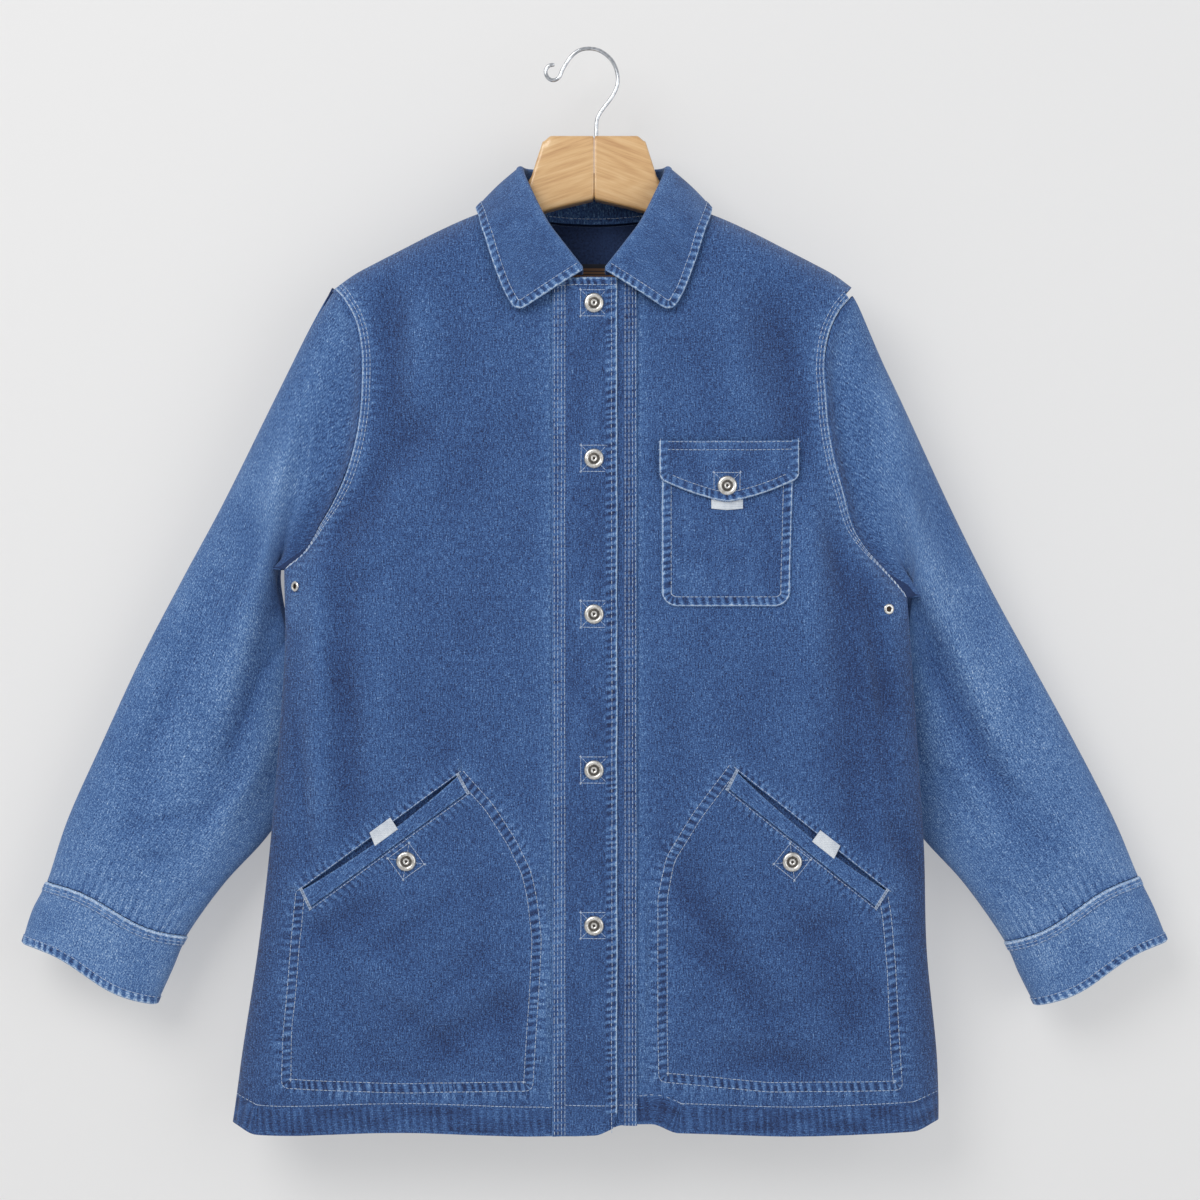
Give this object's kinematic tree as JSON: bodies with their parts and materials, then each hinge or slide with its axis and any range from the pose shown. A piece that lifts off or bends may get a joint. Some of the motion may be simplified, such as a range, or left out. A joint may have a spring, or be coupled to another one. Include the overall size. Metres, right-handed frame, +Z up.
{
  "type": "chore jacket on a wooden hanger",
  "caption": "Denim chore jacket with pointed collar, patch chest pocket, slanted hip pockets and buttoned-up snap front, hanging on a contoured wooden hanger.",
  "frame": {"origin": "where a rod bears inside the top of the hanger's hook, in the middle of the wire's depth", "axes": "+Z up; the front of the jacket faces -Y; the wearer's right side lies at -X"},
  "size_m": [1.0324, 0.0982, 0.9695],
  "materials": {
    "denim": "washed indigo twill with pale seams",
    "denim_sleeves": "washed indigo twill, paler than the body",
    "white_tape": "woven cotton tape",
    "label_cloth": "woven label, bare, with plain stripes",
    "snap_metal": "worn nickel",
    "hook_steel": "polished",
    "wood": "clear satin lacquer on pale maple"
  },
  "bodies": {
    "root": {"back": "denim", "chest_flap": "denim", "chest_pocket": "denim", "chest_snap": "snap_metal", "chest_tab": "white_tape", "collar": "denim", "cuff_left": "denim_sleeves", "cuff_right": "denim_sleeves", "eyelet_left": "snap_metal", "eyelet_right": "snap_metal", "front_left": "denim", "front_right": "denim", "front_snap_1": "snap_metal", "front_snap_2": "snap_metal", "front_snap_3": "snap_metal", "front_snap_4": "snap_metal", "front_snap_5": "snap_metal", "hanger_arm_left": "wood", "hanger_arm_right": "wood", "hanger_hook": "hook_steel", "hip_bag_left": "denim", "hip_bag_right": "denim", "hip_snap_left": "snap_metal", "hip_snap_right": "snap_metal", "hip_tab_left": "white_tape", "hip_tab_right": "white_tape", "hip_welt_left": "denim", "hip_welt_right": "denim", "neck_label": "label_cloth", "placket_left": "denim", "placket_right": "denim", "sleeve_left": "denim_sleeves", "sleeve_right": "denim_sleeves"}
  },
  "joints": []
}
